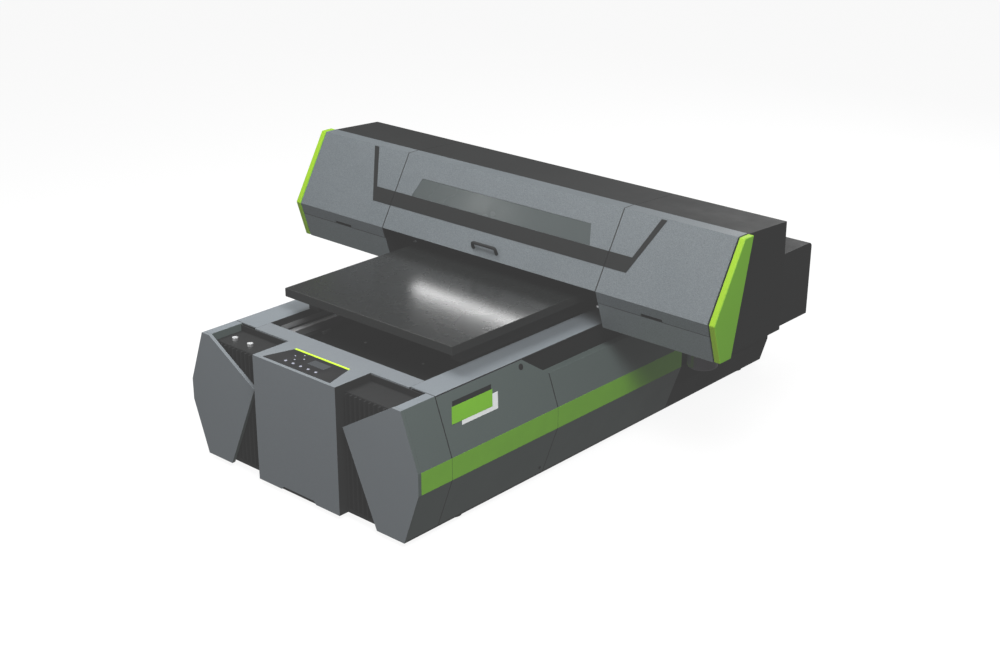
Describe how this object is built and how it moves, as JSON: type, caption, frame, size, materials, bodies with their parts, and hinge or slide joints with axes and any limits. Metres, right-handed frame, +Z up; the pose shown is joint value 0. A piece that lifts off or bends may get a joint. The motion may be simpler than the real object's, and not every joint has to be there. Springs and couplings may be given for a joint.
{
  "type": "flatbed uv printer",
  "caption": "Flatbed UV printer with a sliding table on a low hexagonal base, under a lifting gantry that holds a crosswise print carriage.",
  "frame": {"origin": "on the floor, under the centre of the machine's bounding box", "axes": "+X along the gantry to the operator's right, +Y from the console to the back, +Z up"},
  "size_m": [1.5428, 1.56, 0.6821],
  "materials": {
    "grey_paint": "fine textured grey powder coat",
    "flank_paint": "dark grey powder coat",
    "rim_paint": "satin light grey paint",
    "black_paint": "matt black paint",
    "black_plastic": "fine moulded grain",
    "lime_plastic": "satin lime green",
    "lime_light": "lit diffuser",
    "gloss_panel": "smoked gloss",
    "table_plate": "glossy black anodised plate",
    "smoked_glass": "smoked sheet",
    "dark_bottle": "dark moulding",
    "steel": "ground",
    "aluminium": "satin extrusion",
    "pale_key": "pale satin",
    "rubber": "moulded"
  },
  "bodies": {
    "base": {"base_chassis": "black_paint", "well_floor": "black_paint", "rear_skirt": "black_paint", "front_console": "grey_paint", "control_panel": "gloss_panel", "status_light": "lime_light", "left_corner_plate": "grey_paint", "right_corner_plate": "grey_paint", "left_grille": "black_plastic", "right_grille": "black_plastic", "left_front_side": "flank_paint", "right_front_side": "flank_paint", "left_middle_side": "flank_paint", "right_middle_side": "flank_paint", "left_rear_side": "flank_paint", "right_rear_side": "flank_paint", "left_top_rail": "rim_paint", "right_top_rail": "rim_paint", "left_linear_rail": "steel", "right_linear_rail": "steel", "screw_motor": "black_paint", "screw_bearing": "aluminium", "front_left_foot": "rubber", "front_right_foot": "rubber", "rear_left_foot": "rubber", "rear_right_foot": "rubber", "left_lift_column": "aluminium", "right_lift_column": "aluminium"},
    "table": {"table_top": "table_plate", "table_frame": "black_paint", "screw_nut": "aluminium"},
    "screw": {"table_screw": "steel"},
    "gantry": {"gantry_beam": "aluminium", "x_rail": "steel", "centre_rear_housing": "black_paint", "left_rear_housing": "black_paint", "right_rear_housing": "black_paint", "ink_cabinet": "black_plastic", "waste_bottle": "dark_bottle", "capping_station": "rubber", "left_end_cap": "lime_plastic", "right_end_cap": "lime_plastic", "left_lower_panel": "grey_paint", "right_lower_panel": "grey_paint"},
    "carriage": {"print_carriage": "black_paint", "print_head": "steel", "curing_lamp": "aluminium"},
    "centre_cover": {"centre_front_cover": "grey_paint", "window": "smoked_glass", "handle": "black_plastic"},
    "left_cover": {"left_front_cover": "grey_paint"},
    "right_cover": {"right_front_cover": "grey_paint"},
    "nav_button": {"nav_pad": "gloss_panel"},
    "key_button_1": {"key_1": "pale_key"},
    "key_button_2": {"key_2": "pale_key"},
    "key_button_3": {"key_3": "pale_key"},
    "key_button_4": {"key_4": "pale_key"},
    "key_button_5": {"key_5": "pale_key"},
    "power_switch": {"power_button": "steel"},
    "stop_switch": {"stop_button": "steel"}
  },
  "joints": [
    {"name": "table_slide", "type": "slide", "parent": "base", "child": "table", "axis": [0, 1, 0], "range_m": [-0.345, 0.56]},
    {"name": "screw_turn", "type": "hinge", "parent": "base", "child": "screw", "pos_m": [0, 0.04, 0.277], "axis": [0, 1, 0], "range_deg": [-6300, 10200]},
    {"name": "gantry_lift", "type": "slide", "parent": "base", "child": "gantry", "axis": [0, 0, 1], "range_m": [0, 0.1]},
    {"name": "carriage_slide", "type": "slide", "parent": "gantry", "child": "carriage", "axis": [1, 0, 0], "range_m": [-1.12, 0.1]},
    {"name": "centre_cover_hinge", "type": "hinge", "parent": "gantry", "child": "centre_cover", "pos_m": [0, 0.0749, 0.6821], "axis": [-1, 0, 0], "range_deg": [0, 75]},
    {"name": "left_cover_hinge", "type": "hinge", "parent": "gantry", "child": "left_cover", "pos_m": [-0.573, 0.0749, 0.6821], "axis": [-1, 0, 0], "range_deg": [0, 75]},
    {"name": "right_cover_hinge", "type": "hinge", "parent": "gantry", "child": "right_cover", "pos_m": [0.573, 0.0749, 0.6821], "axis": [-1, 0, 0], "range_deg": [0, 75]},
    {"name": "nav_pad_press", "type": "slide", "parent": "base", "child": "nav_button", "axis": [0, 0, 1], "range_m": [-0.0008, 0], "stiffness_N_per_m": 300},
    {"name": "key_1_press", "type": "slide", "parent": "base", "child": "key_button_1", "axis": [0, 0, 1], "range_m": [-0.0008, 0], "stiffness_N_per_m": 300},
    {"name": "key_2_press", "type": "slide", "parent": "base", "child": "key_button_2", "axis": [0, 0, 1], "range_m": [-0.0008, 0], "stiffness_N_per_m": 300},
    {"name": "key_3_press", "type": "slide", "parent": "base", "child": "key_button_3", "axis": [0, 0, 1], "range_m": [-0.0008, 0], "stiffness_N_per_m": 300},
    {"name": "key_4_press", "type": "slide", "parent": "base", "child": "key_button_4", "axis": [0, 0, 1], "range_m": [-0.0008, 0], "stiffness_N_per_m": 300},
    {"name": "key_5_press", "type": "slide", "parent": "base", "child": "key_button_5", "axis": [0, 0, 1], "range_m": [-0.0008, 0], "stiffness_N_per_m": 300},
    {"name": "power_button_press", "type": "slide", "parent": "base", "child": "power_switch", "axis": [0, 0, 1], "range_m": [-0.003, 0], "stiffness_N_per_m": 400},
    {"name": "stop_button_press", "type": "slide", "parent": "base", "child": "stop_switch", "axis": [0, 0, 1], "range_m": [-0.003, 0], "stiffness_N_per_m": 400}
  ],
  "couplings": [
    {"joint": "screw_turn", "follows": "table_slide", "rad_per_m": 314.16}
  ]
}
